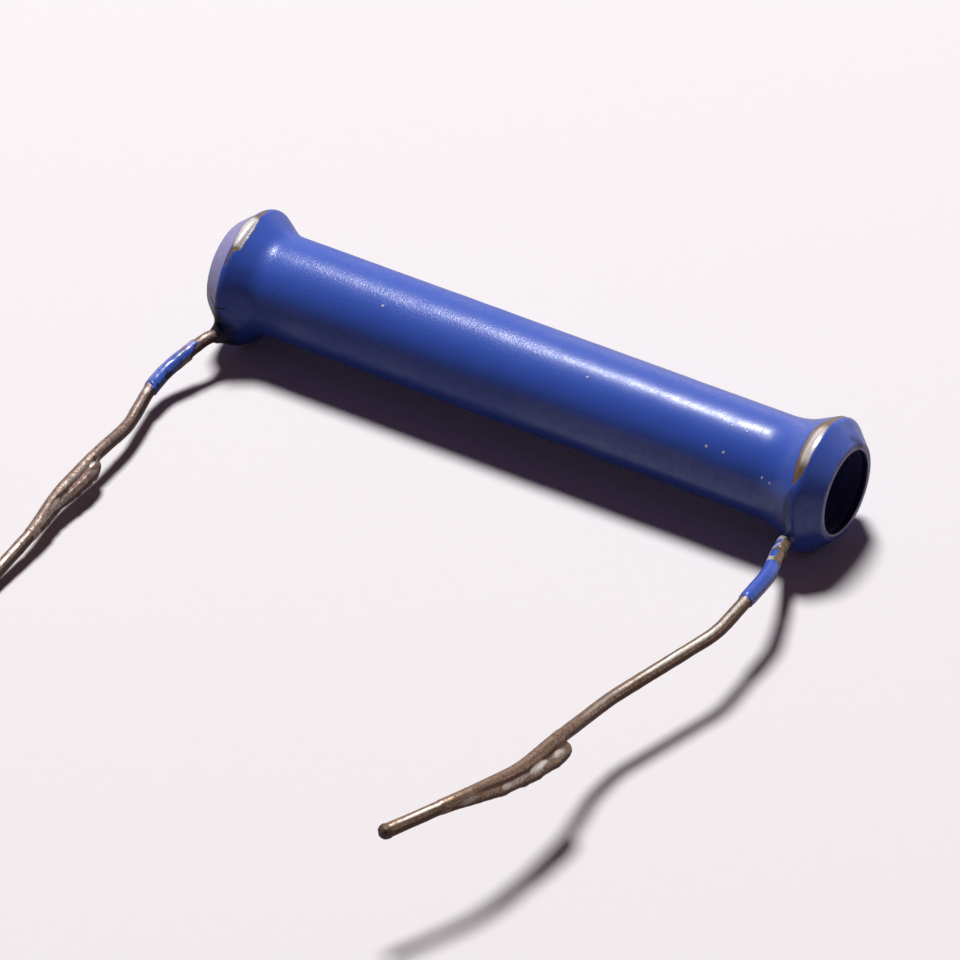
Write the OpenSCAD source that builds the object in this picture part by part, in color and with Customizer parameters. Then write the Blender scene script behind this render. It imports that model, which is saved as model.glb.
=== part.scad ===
// Tubular ceramic capacitor, dip lacquered, with two wound wire leads.
// The tube's axis is X and its middle is the origin. The leads run towards -Y.
// The part lies on the crests of its two end flares, with the tip of its left
// lead as the third support, so the surface it lies on is at z = -crest_r.

/* [Ceramic tube] */
// Length of the ceramic tube
tube_len = 28.2; // [20:0.1:40]
// Outer diameter of the ceramic tube
tube_od = 4.1; // [3.8:0.05:6]
// Wall of the ceramic tube
wall_t = 0.35; // [0.3:0.05:0.8]

/* [Silver electrodes] */
// Thickness of the fired silver film
film_t = 0.03; // [0.02:0.01:0.06]
// How far the inner electrode wraps back along the outside at the left end
wrap_len = 2.4; // [2.1:0.1:3]
// Bare ceramic between the wrapped film and the outer electrode
electrode_gap = 0.8; // [0.4:0.1:2]
// Bare ceramic left at the right end of the outer electrode
outer_margin = 0.25; // [0.1:0.05:0.4]
// Bare ceramic left at the right end of the bore
bore_margin = 0.5; // [0.2:0.1:1.5]

/* [Leads] */
// Diameter of the tinned wire
wire_d = 0.55; // [0.45:0.05:0.65]
// Distance from each end of the tube to the middle of its wire turn
turn_inset = 1; // [0.95:0.01:1.05]
// How far round the tube each wire goes
turn_angle = 320; // [270:5:325]
// Where the wire leaves its turn, in degrees below the front
exit_angle = 57; // [50:1:64]
// Straight stretch of wire from the turn to the first bend
exit_run = 1.5; // [1.3:0.1:1.7]
// Radius of the first bend of each lead, along the wire's middle
first_bend_r = 1.2; // [0.8:0.1:1.6]
// How far the right lead reaches out in front of the crests
right_reach = 25.31; // [20:0.1:40]
// How far the left lead reaches out in front of the crests
left_reach = 20.76; // [16:0.1:40]

/* [Solder] */
// Solder between the silver film and the wire turn
turn_bed = 0.05; // [0.03:0.01:0.1]
// Radius of the hollow solder fillets beside the wire turn
fillet_r = 0.36; // [0.3:0.02:0.4]
// Largest diameter of the solder left on the right lead
right_drop_d = 0.62; // [0.5:0.02:0.8]
// Largest diameter of the solder left on the left lead
left_drop_d = 0.66; // [0.5:0.02:0.7]
// Diameter of the solder bead on the tip of the right lead
tip_bead_d = 0.64; // [0.6:0.02:0.8]

/* [Lacquer] */
// Thickness of the lacquer on the body
lacquer_t = 0.08; // [0.05:0.01:0.15]
// Thickness of the lacquer over the wire turns
crest_cover = 0.16; // [0.12:0.01:0.2]
// Thickness of the lacquer past each end of the tube
end_cover = 0.24; // [0.1:0.02:0.4]
// Thickness of the lacquer on the leads
sleeve_t = 0.06; // [0.03:0.01:0.1]
// Ceramic rim left bare round the bore at each end
lip_w = 0.05; // [0.03:0.01:0.12]
// Rounding of the left flare's crest
left_crest_round = 0.3; // [0.2:0.02:0.4]
// Rounding of the right flare's crest
right_crest_round = 0.4; // [0.3:0.02:0.5]
// Length of the left flare, from its crest down to the body
left_flare = 1.15; // [1:0.05:1.6]
// Length of the right flare, from its crest down to the body
right_flare = 1.5; // [1.2:0.05:2]
// Rounding of the bore's edge in the lacquer
lip_round = 0.06; // [0.03:0.01:0.1]
// Lacquer round the right wire where it leaves its flare
right_collar_t = 0.1; // [0.08:0.01:0.2]
// Lacquer round the left wire where it leaves its flare
left_collar_t = 0.3; // [0.1:0.01:0.34]
// Length of these collars, along the wire from its turn
collar_len = 1.4; // [1.2:0.05:1.45]

/* [Hidden] */
$fn = 48;

half_len = tube_len / 2;
tube_r = tube_od / 2;
bore_r = tube_r - wall_t;
film_r = tube_r + film_t;
wire_r = wire_d / 2;
turn_r = film_r + turn_bed + wire_r;
body_r = film_r + lacquer_t;
crest_r = turn_r + wire_r + crest_cover;
left_turn_x = -half_len + turn_inset;
right_turn_x = half_len - turn_inset;
coat_end = half_len + film_t + end_cover;
lip_r = bore_r + lip_w;
// The outer edge of the coat's end faces stands in from the silver film's edge
face_r = film_r - lip_w;

// A straight rod reaches this far into each bend next to it
lap = 0.05;
// A bend is this much fatter than the rods, so that it closes round their ends
proud = 0.002;
// Points along each rounded corner of the lacquer's outline
corner_steps = 6;
// How far a solder fillet's hollow reaches over the wire
bite = 0.02;
// The thin edge of a solder fillet is cut back by this much
blunt = 0.065;

// The bends below are drawn for leads of this reach and stretch with the real reach
right_k = right_reach / 25.31;
left_k = left_reach / 20.76;

// Bends of each lead: [along the axis from its turn, out in front of the
// crest, above the surface that the part lies on, radius of the bend]
right_bends = [
    [0.7, 1.61, 2.56, 2],
    [1.22, 3.36, 2.86, 3],
    [1.3, 7.46, 2.94, 4],
    [-0.25, 12.76, 2.82, 3],
    [-0.38, 14.36, 3.0, 3],
    [-0.2, 16.76, 3.76, 5],
    [-0.35, 19.36, 3.97, 8],
    [-0.9, 21.96, 4.49, 6],
    [-2.47, 25.31, 4.46, 0]
];
left_bends = [
    [-0.3, 0.66, 1.86, 1.2],
    [-0.95, 2.66, 1.26, 2],
    [-0.93, 3.96, 1.12, 4],
    [-0.35, 6.36, 1.04, 6],
    [-0.3, 8.36, 1.22, 6],
    [-0.33, 11.46, 0.99, 8],
    [0.08, 13.76, 0.86, 6],
    [0.1, 16.36, 0.6, 6],
    [0.3, 20.76, wire_r / left_k, 0]
];

function unit(v) = v / norm(v);
function turned(u, w) = 2 * atan2(norm(u - w), norm(u + w));
function turn_point(x) = [x, -turn_r * cos(exit_angle), -turn_r * sin(exit_angle)];
exit_dir = [0, -sin(exit_angle), cos(exit_angle)];

// A path is a list of corners, each [point, radius of the bend there]
function pt(c) = c[0];
function lead_path(x, bends, k) = concat(
    [[turn_point(x), 0], [turn_point(x) + exit_run * exit_dir, first_bend_r]],
    [for (b = k * bends) [[x + b[0], -crest_r - b[1], b[2] - crest_r], b[3]]]
);
// The plain path end that lies a share t of the way from corner a to corner b
function between(a, b, t) = [pt(a) + (pt(b) - pt(a)) * t, 0];
// From corner b, the bend takes this much of the straights to a and to c
function setback(a, b, c) = b[1] * tan(turned(unit(pt(b) - pt(a)), unit(pt(c) - pt(b))) / 2);

right_path = lead_path(right_turn_x, right_bends, right_k);
left_path = lead_path(left_turn_x, left_bends, left_k);

// Where the tangent from point p touches the circle of radius r about c
function touch(p, c, r, side) =
    let (
        d = norm(p - c),
        back = acos(r / d),
        w = (p - c) / d
    )
    c + r * [w.x * cos(back) - side * w.y * sin(back), side * w.x * sin(back) + w.y * cos(back)];
// The corner where the tangents from p and q to that circle meet above it
function crest_corner(p, q, c, r) =
    let (
        a = touch(p, c, r, -1),
        b = touch(q, c, r, 1),
        u = a - p,
        w = b - q
    )
    p + u * cross(q - p, w) / cross(u, w);

left_crest = [left_turn_x - 0.2 * wire_d / 0.55, crest_r - left_crest_round];
right_crest = [right_turn_x + 0.27 * wire_d / 0.55, crest_r - right_crest_round];
left_foot = [left_crest.x + left_flare, body_r];
right_foot = [right_crest.x - right_flare, body_r];
left_face = [-coat_end, face_r];
right_face = [coat_end, face_r];
left_top = crest_corner(left_face, left_foot, left_crest, left_crest_round);
right_top = crest_corner(right_foot, right_face, right_crest, right_crest_round);

// Corners of the lacquer's outline: [x, radius, rounding of the corner]
coat_corners = [
    [0, lip_r, 0],
    [-coat_end, lip_r, lip_round],
    [left_face.x, left_face.y, 2 * lip_round],
    [left_top.x, left_top.y, left_crest_round],
    [left_foot.x, left_foot.y, left_flare],
    [right_foot.x, right_foot.y, 2 * right_flare],
    [right_top.x, right_top.y, right_crest_round],
    [right_face.x, right_face.y, 2 * lip_round],
    [coat_end, lip_r, lip_round]
];

// Points of the arc that rounds corner q between p and r
function corner_arc(p, q, r, radius) =
    let (
        u = unit(p - q),
        w = unit(r - q),
        half = turned(u, w) / 2,
        back = radius / tan(half),
        start = q + u * back,
        end = q + w * back,
        centre = q + unit(u + w) * radius / sin(half),
        sweep = 180 - 2 * half,
        a = start - centre,
        s = sign(cross(start - centre, end - centre))
    )
    [for (i = [0 : corner_steps])
        let (t = s * sweep * i / corner_steps)
        centre + [a.x * cos(t) - a.y * sin(t), a.x * sin(t) + a.y * cos(t)]];

function flat_pt(c) = [c[0], c[1]];
function rounded(corners) = [
    for (i = [0 : len(corners) - 1])
        let (before = corners[max(i - 1, 0)], after = corners[(i + 1) % len(corners)])
        each corners[i][2] == 0 ? [flat_pt(corners[i])] :
            corner_arc(flat_pt(before), flat_pt(corners[i]), flat_pt(after), corners[i][2])
];

// Turns a profile, drawn as [x, radius], about the X axis
module spin() {
    rotate([90, 0, 90]) rotate_extrude() rotate(90) mirror([0, 1]) children();
}

// Profile of a ring between two stations and two radii
module band(x0, x1, r0, r1) {
    translate([x0, r0]) square([x1 - x0, r1 - r0]);
}

// Places its child with its local Z along w, at point a
module along(a, w) {
    u = unit(cross(abs(w.z) < 0.9 ? [0, 0, 1] : [1, 0, 0], w));
    v = cross(w, u);
    multmatrix([[u.x, v.x, w.x, a.x], [u.y, v.y, w.y, a.y], [u.z, v.z, w.z, a.z], [0, 0, 0, 1]])
        children();
}

// The bend at corner b, between the straights from a and to c
module elbow(a, b, c, d) {
    w1 = unit(pt(b) - pt(a));
    w2 = unit(pt(c) - pt(b));
    n = unit(cross(w1, w2));
    out = cross(w1, n);
    m = pt(b) - w1 * setback(a, b, c) - out * b[1];
    multmatrix([[out.x, w1.x, n.x, m.x], [out.y, w1.y, n.y, m.y], [out.z, w1.z, n.z, m.z], [0, 0, 0, 1]])
        rotate_extrude(angle = turned(w1, w2))
            translate([b[1], 0]) circle(d = d + 2 * proud);
}

// Round wire along a path, straight between bends
module bent_wire(path, d) {
    last = len(path) - 1;
    for (i = [0 : last - 1]) {
        w = unit(pt(path[i + 1]) - pt(path[i]));
        from_bend = i == 0 ? 0 : setback(path[i - 1], path[i], path[i + 1]) - lap;
        to_bend = i == last - 1 ? 0 : setback(path[i], path[i + 1], path[i + 2]) - lap;
        a = pt(path[i]) + w * from_bend;
        b = pt(path[i + 1]) - w * to_bend;
        along(a, w) cylinder(d = d, h = norm(b - a));
        if (i > 0) elbow(path[i - 1], path[i], path[i + 1], d);
    }
}

// The wire's turn round the tube, from its hidden end to where it leaves
module wire_turn(x) {
    multmatrix([[0, 0, 1, x], [-cos(exit_angle), sin(exit_angle), 0, 0],
                [-sin(exit_angle), -cos(exit_angle), 0, 0], [0, 0, 0, 1]])
        rotate_extrude(angle = turn_angle)
            translate([turn_r, 0]) circle(d = wire_d + 2 * proud);
}

// One whole lead: the turn and the bent wire that leaves it
module lead(x, path) {
    wire_turn(x);
    start = [pt(path[0]) - lap * exit_dir, 0];
    bent_wire([start, for (i = [1 : len(path) - 1]) path[i]], wire_d);
}

// Solder round the tube under and beside a wire turn
module solder_ring(x) {
    reach = wire_r + fillet_r - bite;
    half_w = reach - blunt;
    spin() translate([x, film_r]) difference() {
        translate([-half_w, 0]) square([2 * half_w, fillet_r]);
        for (side = [-1, 1])
            translate([side * reach, fillet_r]) circle(r = fillet_r);
    }
}

// A drop of solder drawn out along a wire: round at a, down to this share of
// its diameter at b
module drawn_drop(a, b, d, tip = 0.3) {
    long = norm(b - a);
    waist = (1 + tip) / 2 + 0.2 * (1 - tip);
    along(a, unit(b - a)) rotate_extrude() difference() {
        union() {
            circle(d = d);
            polygon([[0, 0], [d / 2, 0], [d / 2 * waist, long / 2], [d / 2 * tip, long], [0, long]]);
        }
        translate([-d, -d]) square([d, 2 * d + long]);
    }
}

// Everything under the lacquer but the leads and their solder
module lacquered_core() {
    spin() {
        band(-half_len, half_len, 0, tube_r);
        band(-half_len - film_t, -half_len + wrap_len, 0, film_r);
        band(-half_len + wrap_len + electrode_gap, half_len - outer_margin, 0, film_r);
    }
}

module ceramic_tube() {
    color("gainsboro") spin() band(-half_len, half_len, bore_r, tube_r);
}

module inner_electrode() {
    color("silver") spin() {
        band(-half_len - film_t, half_len - bore_margin, bore_r - film_t, bore_r);
        band(-half_len - film_t, -half_len, bore_r - film_t, film_r);
        band(-half_len - film_t, -half_len + wrap_len, tube_r, film_r);
    }
}

module outer_electrode() {
    color("silver")
        spin() band(-half_len + wrap_len + electrode_gap, half_len - outer_margin, tube_r, film_r);
}

module left_lead() {
    color("tan") lead(left_turn_x, left_path);
}

module right_lead() {
    color("tan") lead(right_turn_x, right_path);
}

module left_solder_joint() {
    color("lightgray") difference() {
        solder_ring(left_turn_x);
        left_lead();
    }
}

module right_solder_joint() {
    color("lightgray") difference() {
        solder_ring(right_turn_x);
        right_lead();
    }
}

// Lacquer drawn out along a wire where it leaves its flare
module collar(x, t) {
    along(turn_point(x), exit_dir) cylinder(d1 = wire_d + 2 * t, d2 = wire_d + 1.3 * t, h = collar_len);
}

module lacquer_coat() {
    color("royalblue") difference() {
        union() {
            spin() polygon(rounded(coat_corners));
            collar(left_turn_x, left_collar_t);
            collar(right_turn_x, right_collar_t);
        }
        lacquered_core();
        solder_ring(left_turn_x);
        solder_ring(right_turn_x);
        left_lead();
        right_lead();
    }
}

module left_lead_lacquer() {
    p = left_path;
    color("royalblue") difference() {
        bent_wire([between(p[2], p[3], 0.37), p[3], p[4], between(p[4], p[5], 0.2)], wire_d + 2 * sleeve_t);
        left_lead();
    }
}

module right_lead_lacquer() {
    p = right_path;
    color("royalblue") difference() {
        bent_wire([between(p[1], p[2], 0.4), p[2], p[3], between(p[3], p[4], 0.38)], wire_d + 2 * sleeve_t);
        right_lead();
    }
}

module left_lead_solder() {
    p = left_path;
    color("darkgray") difference() {
        drawn_drop(pt(between(p[6], p[7], 0.3)) + [0.18, 0, -0.17],
                   pt(p[8]) + [0.05, 0.7, -0.05], left_drop_d);
        left_lead();
    }
}

module right_lead_solder() {
    p = right_path;
    head = pt(p[7]) + [0.38, -0.3, -0.34];
    knee = pt(p[8]) + [0.05, -1.07, -0.05];
    tail = pt(p[9]) + [-0.36, -0.93, -0.08];
    color("darkgray") difference() {
        union() {
            drawn_drop(head, knee, right_drop_d, 0.84);
            drawn_drop(knee, tail, right_drop_d * 0.85);
        }
        right_lead();
    }
}

module right_tip_solder() {
    color("darkgray") difference() {
        translate(pt(right_path[len(right_path) - 1])) sphere(d = tip_bead_d);
        right_lead();
    }
}

ceramic_tube();
inner_electrode();
outer_electrode();
left_lead();
right_lead();
left_solder_joint();
right_solder_joint();
lacquer_coat();
left_lead_lacquer();
right_lead_lacquer();
left_lead_solder();
right_lead_solder();
right_tip_solder();
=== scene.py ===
import math

import bmesh
import bpy
import numpy as np
from mathutils import Matrix, Vector


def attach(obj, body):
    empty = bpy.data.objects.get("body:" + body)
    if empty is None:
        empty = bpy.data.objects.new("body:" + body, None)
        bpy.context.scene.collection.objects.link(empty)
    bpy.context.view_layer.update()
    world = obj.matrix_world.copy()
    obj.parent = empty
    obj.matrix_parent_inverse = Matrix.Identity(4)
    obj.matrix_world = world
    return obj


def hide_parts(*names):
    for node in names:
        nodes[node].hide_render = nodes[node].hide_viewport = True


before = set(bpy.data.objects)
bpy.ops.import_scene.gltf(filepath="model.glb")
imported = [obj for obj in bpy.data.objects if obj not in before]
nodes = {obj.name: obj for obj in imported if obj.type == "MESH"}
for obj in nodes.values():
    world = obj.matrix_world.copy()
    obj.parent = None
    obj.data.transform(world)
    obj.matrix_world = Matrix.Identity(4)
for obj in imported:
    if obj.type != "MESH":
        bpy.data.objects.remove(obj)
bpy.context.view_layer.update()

# ---------------------------------------------------------------- sizes, mm
MM = 0.001
TUBE_HALF = 14.1  # half the ceramic tube's length
FILM_R = 2.08  # outside of the silver films
BODY_R = 2.16  # outside of the coat between the flares
CREST_R = 2.84  # crest of the flares, on which the part lies
COAT_END = 14.37  # end faces of the coat
LIP_R = 1.75  # mouth of the coat
FACE_R = 2.03  # outer edge of the end faces
WIRE_R = 0.275
TURN_R = 2.405  # middle line of the leads' turns
LEFT_TURN_X = -13.1
RIGHT_TURN_X = 13.1
EXIT_ANGLE = math.radians(57)
TURN_SWEEP = math.radians(320)
EXIT_RUN = 1.5  # straight run from the turn to the first bend
FIRST_BEND_R = 1.2
WIRE_STEP = 0.05

# Bends of each lead: along the axis from its turn, out in front of the crest,
# above the surface that the part lies on, radius of the bend
RIGHT_BENDS = [
    (0.7, 1.61, 2.56, 2), (1.22, 3.36, 2.86, 3), (1.3, 7.46, 2.94, 4),
    (-0.25, 12.76, 2.82, 3), (-0.38, 14.36, 3, 3), (-0.2, 16.76, 3.76, 5),
    (-0.35, 19.36, 3.97, 8), (-0.9, 21.96, 4.49, 6), (-2.47, 25.31, 4.46, 0),
]
LEFT_BENDS = [
    (-0.3, 0.66, 1.86, 1.2), (-0.95, 2.66, 1.26, 2), (-0.93, 3.96, 1.12, 4),
    (-0.35, 6.36, 1.04, 6), (-0.3, 8.36, 1.22, 6), (-0.33, 11.46, 0.99, 8),
    (0.08, 13.76, 0.86, 6), (0.1, 16.36, 0.6, 6), (0.3, 20.76, WIRE_R, 0),
]

# ---------------------------------------------------------------- noise
LATTICE_SIZE = 48
LATTICE = np.random.default_rng(11).random((LATTICE_SIZE,) * 3) * 2 - 1


def noise3(p, per_mm, shift=0.0):
    """Smooth seeded noise from -1 to 1 at the points p (..., 3), in mm."""
    q = np.asarray(p, float) * per_mm + shift + 100.0
    i = np.floor(q).astype(int)
    f = q - i
    f = f * f * (3 - 2 * f)
    total = 0.0
    for dx in (0, 1):
        for dy in (0, 1):
            for dz in (0, 1):
                w = (f[..., 0] if dx else 1 - f[..., 0]) \
                    * (f[..., 1] if dy else 1 - f[..., 1]) \
                    * (f[..., 2] if dz else 1 - f[..., 2])
                x, y, z = (i[..., k] + d for k, d in enumerate((dx, dy, dz)))
                total = total + w * LATTICE[x % LATTICE_SIZE, y % LATTICE_SIZE, z % LATTICE_SIZE]
    return total


def smooth(e0, e1, v):
    """0 at e0 and before it, 1 at e1 and past it, with an even rise between."""
    t = np.clip((v - e0) / (e1 - e0), 0, 1)
    return t * t * (3 - 2 * t)


# ---------------------------------------------------------------- mesh tools
def shell(grid, attributes=None, close_rows=True):
    """Points, faces and attributes of a closed skin over grid (rows, columns, 3)
    in mm. The columns close; the rows close too or end in a cap at both ends."""
    n, m, _ = grid.shape
    idx = np.arange(n * m).reshape(n, m)
    a = idx if close_rows else idx[:-1]
    b = idx[(np.arange(len(a)) + 1) % n]
    faces = np.stack([a, np.roll(a, -1, 1), np.roll(b, -1, 1), b], -1).reshape(-1, 4).tolist()
    points = grid.reshape(-1, 3)
    data = {k: np.asarray(v, float).reshape(-1) for k, v in (attributes or {}).items()}
    if not close_rows:
        for row, flip in ((0, True), (n - 1, False)):
            c = len(points)
            points = np.vstack([points, grid[row].mean(0)])
            data = {k: np.append(v, v[idx[row]].mean()) for k, v in data.items()}
            ring = idx[row].tolist()
            for k in range(m):
                p, q = ring[k], ring[(k + 1) % m]
                faces.append((c, q, p) if flip else (c, p, q))
    return points, faces, data


def solid(name, shells, material, node):
    """One object of those skins, which stands for that CAD node."""
    points, faces, data, start = [], [], {}, 0
    keys = {k for s in shells for k in s[2]}
    for p, f, d in shells:
        points.append(p)
        faces += [tuple(v + start for v in face) for face in f]
        for k in keys:
            data.setdefault(k, []).append(d.get(k, np.zeros(len(p))))
        start += len(p)
    mesh = bpy.data.meshes.new(name)
    mesh.from_pydata((np.vstack(points) * MM).tolist(), [], faces)
    for k in sorted(keys):
        layer = mesh.attributes.new(k, "FLOAT", "POINT")
        layer.data.foreach_set("value", np.concatenate(data[k]).astype(np.float32))
    bm = bmesh.new()
    bm.from_mesh(mesh)
    bmesh.ops.recalc_face_normals(bm, faces=bm.faces)
    bm.to_mesh(mesh)
    bm.free()
    mesh.polygons.foreach_set("use_smooth", [True] * len(mesh.polygons))
    mesh.update()
    obj = bpy.data.objects.new(name, mesh)
    bpy.context.scene.collection.objects.link(obj)
    obj.data.materials.append(material)
    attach(obj, "root")
    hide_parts(node)
    return obj


def unit(v):
    return v / np.linalg.norm(v)


def bend_path(corners, step=0.06):
    """Points every step mm along straights joined by round bends."""
    pts = []
    pos = [np.array(c[0], float) for c in corners]
    cuts = [(pos[0], pos[0])]
    arcs = [None]
    for i in range(1, len(pos) - 1):
        u, w = unit(pos[i] - pos[i - 1]), unit(pos[i + 1] - pos[i])
        ang = math.acos(float(np.clip(u @ w, -1, 1)))
        r = corners[i][1]
        back = r * math.tan(ang / 2)
        cuts.append((pos[i] - u * back, pos[i] + w * back))
        side = unit(w - u * (u @ w)) if ang > 1e-6 else None
        arcs.append((pos[i] - u * back, u, side, r, ang))
    cuts.append((pos[-1], pos[-1]))
    arcs.append(None)
    for i in range(len(pos) - 1):
        if arcs[i] is not None:
            start, u, side, r, ang = arcs[i]
            k = max(2, int(r * ang / step))
            for t in np.linspace(0, ang, k, endpoint=False):
                pts.append(start + u * r * math.sin(t) + side * r * (1 - math.cos(t)))
        a, b = cuts[i][1], cuts[i + 1][0]
        k = max(1, int(np.linalg.norm(b - a) / step))
        for t in np.linspace(0, 1, k, endpoint=False):
            pts.append(a + (b - a) * t)
    pts.append(pos[-1])
    return np.array(pts)


def along(pts):
    """Distance of each point along the path."""
    d = np.linalg.norm(np.diff(pts, axis=0), axis=1)
    return np.concatenate([[0], np.cumsum(d)])


def resample(pts, step):
    s = along(pts)
    n = int(s[-1] / step) + 1
    q = np.linspace(0, s[-1], n)
    return np.stack([np.interp(q, s, pts[:, k]) for k in range(3)], 1)


def soften(pts, rounds):
    """Evens out the corners of a path, ends held."""
    p = pts.copy()
    for _ in range(rounds):
        p[1:-1] = p[1:-1] * 0.5 + (p[:-2] + p[2:]) * 0.25
    return p


def tangents(pts):
    t = np.gradient(pts, axis=0)
    return t / np.linalg.norm(t, axis=1)[:, None]


# The lit and shown side of the leads, for placing marks on them
FRONT = unit(np.array([0.4095, -0.6721, 0.6169]))


class Wire:
    """A lead's middle line, with distance s = 0 where it leaves its turn."""

    def __init__(self, turn_x, bends):
        radial = np.array([0, -math.cos(EXIT_ANGLE), -math.sin(EXIT_ANGLE)])
        back = np.array([0, math.sin(EXIT_ANGLE), -math.cos(EXIT_ANGLE)])
        centre = np.array([turn_x, 0, 0])
        turn = [centre + TURN_R * (math.cos(a) * radial + math.sin(a) * back)
                for a in np.arange(TURN_SWEEP, 0, -0.03)]
        start = centre + TURN_R * radial
        corners = [(start, 0), (start - back * EXIT_RUN, FIRST_BEND_R)]
        corners += [((turn_x + b[0], -CREST_R - b[1], b[2] - CREST_R), b[3]) for b in bends]
        lead = bend_path(corners)
        turn_len = along(np.concatenate([np.array(turn), lead[:1]]))[-1]
        pts = resample(np.concatenate([np.array(turn), lead]), WIRE_STEP)
        self.pts = soften(pts, 14)
        self.s = along(self.pts) - turn_len
        self.t = tangents(self.pts)
        # Points right of the way out, square to the wire and to FRONT
        side = np.cross(FRONT, self.t)
        self.side = side / np.linalg.norm(side, axis=1)[:, None]
        self.near = np.cross(self.t, self.side)

    def at(self, s):
        """Middle line, side and near directions at the distances s."""
        return [np.stack([np.interp(s, self.s, v[:, k]) for k in range(3)], -1)
                for v in (self.pts, self.side, self.near)]

    def stations(self, s, phi, radius):
        """Grid of points at that radius (stations, angles): angle 0 is the near
        side and 90 degrees the side to the right."""
        mid, side, near = self.at(s)
        c, n = np.cos(phi)[None, :, None], np.sin(phi)[None, :, None]
        return mid[:, None] + (near[:, None] * c + side[:, None] * n) * radius[..., None]


# ---------------------------------------------------------------- camera
PIXELS = 960
LENS_PX = 6720.0
cam_at = Vector((110.09, -184.79, 163.36)) * MM
forward = Vector((-0.4095, 0.6721, -0.6169)).normalized()
right = forward.cross(Vector((0, 0, 1))).normalized()
upward = right.cross(forward)
cam_data = bpy.data.cameras.new("camera")
cam_data.sensor_width = 36.0
cam_data.lens = LENS_PX / PIXELS * cam_data.sensor_width
cam_data.clip_start = 0.01
cam_data.clip_end = 20.0
camera = bpy.data.objects.new("camera", cam_data)
turned = Matrix((right, upward, -forward)).transposed().to_4x4()
camera.matrix_world = Matrix.Translation(cam_at) @ turned
bpy.context.scene.collection.objects.link(camera)
bpy.context.scene.camera = camera

# ---------------------------------------------------------------- lights
LIGHT_DIR = Vector((-0.235, 0.265, 0.94)).normalized()
LIGHT_DISTANCE = 0.6
LIGHT_SPREAD = 0.25
LIGHT_LEVEL = 1.03
key_data = bpy.data.lights.new("key", "AREA")
key_data.shape = "DISK"
key_data.size = LIGHT_DISTANCE * LIGHT_SPREAD
key_data.energy = LIGHT_LEVEL * math.pi ** 2 * LIGHT_DISTANCE ** 2 / LIGHT_DIR.z
key_data.color = (0.985, 0.985, 0.985)
key = bpy.data.objects.new("key", key_data)
key.location = LIGHT_DIR * LIGHT_DISTANCE
key.rotation_euler = LIGHT_DIR.to_track_quat("Z", "Y").to_euler()
bpy.context.scene.collection.objects.link(key)

world = bpy.data.worlds.new("studio")
bpy.context.scene.world = world
world.use_nodes = True
world_tree = world.node_tree
ambient = world_tree.nodes["Background"]
ambient.inputs["Color"].default_value = (0.84, 0.50, 0.60, 1)
ambient.inputs["Strength"].default_value = 0.055
# The pale surround of the studio, which the camera and the gloss see
surround = world_tree.nodes.new("ShaderNodeBackground")
surround.inputs["Color"].default_value = (0.96, 0.91, 0.93, 1)
rays = world_tree.nodes.new("ShaderNodeLightPath")


def world_math(operation, a, b):
    node = world_tree.nodes.new("ShaderNodeMath")
    node.operation = operation
    world_tree.links.new(a, node.inputs[0])
    world_tree.links.new(b, node.inputs[1])
    return node.outputs[0]


def world_fade(value, low, high, start, end):
    node = world_tree.nodes.new("ShaderNodeMapRange")
    for k, v in zip(range(1, 5), (low, high, start, end)):
        node.inputs[k].default_value = v
    world_tree.links.new(value, node.inputs[0])
    return node.outputs[0]


way = world_tree.nodes.new("ShaderNodeSeparateXYZ")
world_tree.links.new(world_tree.nodes.new("ShaderNodeTexCoord").outputs["Generated"], way.inputs[0])
backdrop = world_math("MULTIPLY", world_fade(way.outputs["Z"], 0.3, 0.7, 0.85, 0.1),
                      world_fade(way.outputs["Y"], -0.35, 0.25, 0.1, 1.0))
strength = world_math("MAXIMUM", backdrop, rays.outputs["Is Camera Ray"])
world_tree.links.new(strength, surround.inputs["Strength"])
seen = world_math("MAXIMUM", rays.outputs["Is Camera Ray"],
                  world_math("MAXIMUM", rays.outputs["Is Glossy Ray"], rays.outputs["Is Transmission Ray"]))
blend = world_tree.nodes.new("ShaderNodeMixShader")
world_tree.links.new(seen, blend.inputs[0])
world_tree.links.new(ambient.outputs[0], blend.inputs[1])
world_tree.links.new(surround.outputs[0], blend.inputs[2])
world_tree.links.new(blend.outputs[0], world_tree.nodes["World Output"].inputs["Surface"])

bpy.context.scene.view_settings.view_transform = "Standard"


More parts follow.
